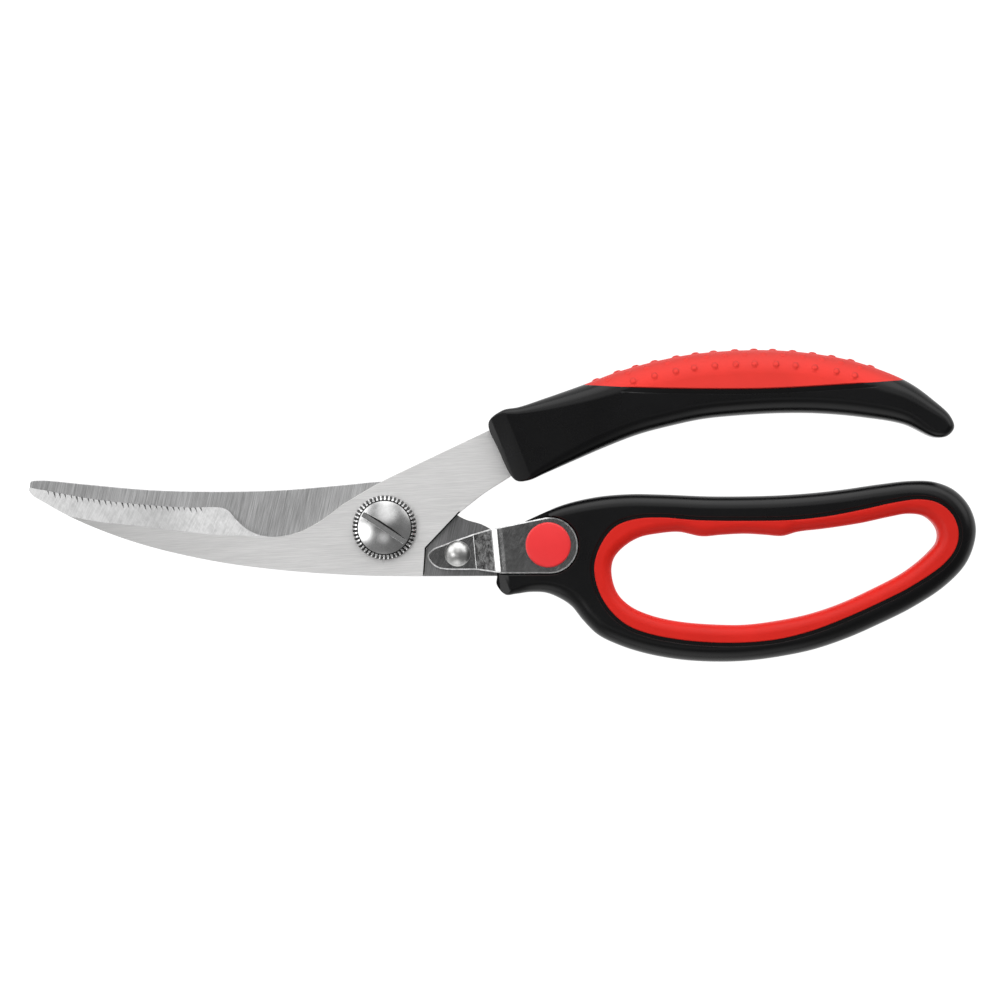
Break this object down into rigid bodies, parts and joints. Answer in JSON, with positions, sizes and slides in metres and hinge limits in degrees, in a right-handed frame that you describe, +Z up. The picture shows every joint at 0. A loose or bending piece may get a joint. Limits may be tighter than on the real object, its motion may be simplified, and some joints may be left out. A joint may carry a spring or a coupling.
{
  "type": "poultry shears",
  "caption": "Curved-blade poultry shears with a serrated lower blade, bone notch, knurled pivot, closed loop handle, open grip handle and push-button latch.",
  "frame": {"origin": "on the pivot axis, on the resting plane: the centre of the pivot nut's outer face, with the shears lying on their back", "axes": "+X from the pivot towards the handles, +Y from the loop handle towards the other handle, +Z up along the pivot axis, towards the slotted screw head"},
  "size_m": [0.2554, 0.0847, 0.0153],
  "materials": {
    "front_blade_steel": "satin, brushed along the blade",
    "rear_blade_steel": "coarse ground across the blade",
    "polished_steel": "polished",
    "plain_steel": "plain",
    "spring_steel": "bright rolled",
    "bronze": "turned",
    "nylon": "natural",
    "black_plastic": "satin",
    "red_grip": "soft satin",
    "red_plastic": "satin gloss"
  },
  "bodies": {
    "lower_half": {"rear_blade": "rear_blade_steel", "pivot_screw": "polished_steel", "knurled_ring": "polished_steel", "thrust_washer": "nylon", "pivot_sleeve": "bronze", "lock_washer": "spring_steel", "pivot_nut": "polished_steel", "opening_spring": "spring_steel", "lower_handle": "black_plastic", "lower_grip_liner": "red_grip", "lower_anchor_pins": "plain_steel", "latch_rivet": "polished_steel", "latch_rivet_washer": "plain_steel", "button_spring": "spring_steel"},
    "upper_half": {"front_blade": "front_blade_steel", "upper_handle": "black_plastic", "upper_grip_pad": "red_grip", "upper_anchor_pins": "plain_steel"},
    "latch": {"latch_plate": "spring_steel", "latch_button": "red_plastic", "button_stem": "plain_steel", "button_stem_clip": "plain_steel"}
  },
  "joints": [
    {"name": "blade_pivot", "type": "hinge", "parent": "lower_half", "child": "upper_half", "pos_m": [0, 0, 0.0075], "axis": [0, 0, 1], "range_deg": [0, 35], "deforming": ["opening_spring"]},
    {"name": "latch_rocker", "type": "hinge", "parent": "lower_half", "child": "latch", "pos_m": [0.0197, -0.00705, 0.0082], "axis": [-0.0958, 0.9954, 0], "range_deg": [0, 3], "stiffness_Nm_per_rad": 1.5, "springref_deg": -1.72, "deforming": ["button_spring"]}
  ]
}
